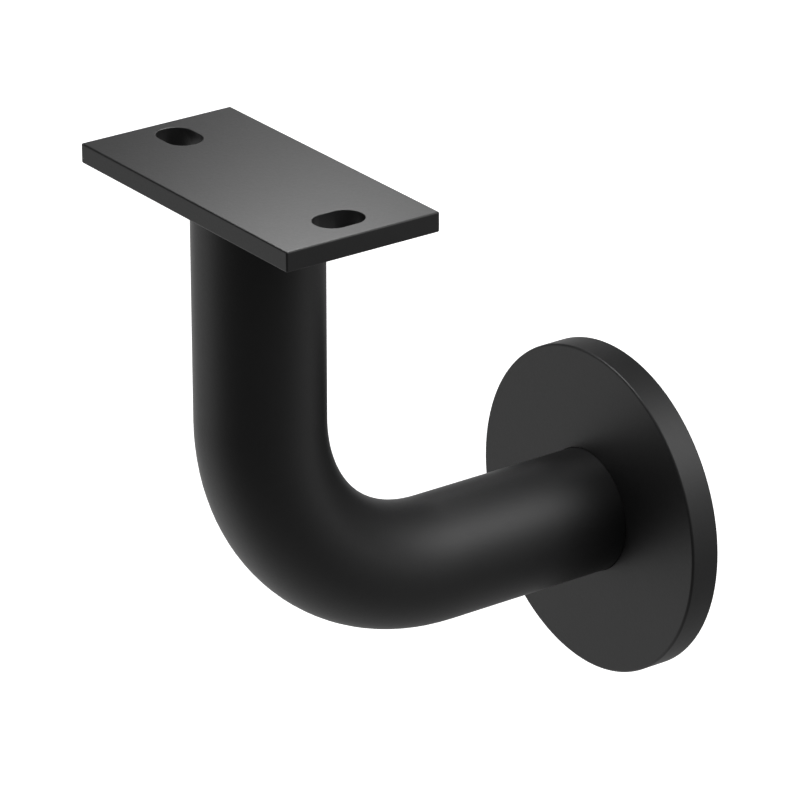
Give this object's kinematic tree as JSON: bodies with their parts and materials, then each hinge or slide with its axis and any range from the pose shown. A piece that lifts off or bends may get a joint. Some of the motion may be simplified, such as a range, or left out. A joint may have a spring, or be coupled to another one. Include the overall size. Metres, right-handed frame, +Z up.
{
  "type": "handrail bracket",
  "caption": "Wall bracket for a handrail: a bent round tube arm runs from a wall flange hidden under a round rose up to a flat slotted saddle plate.",
  "frame": {"origin": "point on the wall plane where the arm's level axis meets it, which is the centre of the flange's back face and of its screw circle", "axes": "+Y points into the wall, so the arm stands out towards -Y; +Z is up, towards the rail; +X runs along the rail"},
  "size_m": [0.06, 0.09, 0.1087],
  "materials": {
    "powder_coat": "fine satin black powder coat",
    "blackened_steel": "black oxide, lightly oiled"
  },
  "bodies": {
    "root": {"saddle_plate": "powder_coat", "saddle_weld": "powder_coat", "arm_tube": "powder_coat", "wall_flange": "powder_coat", "flange_weld": "powder_coat", "cover_rose": "powder_coat", "rose_set_screw": "blackened_steel"}
  },
  "joints": []
}
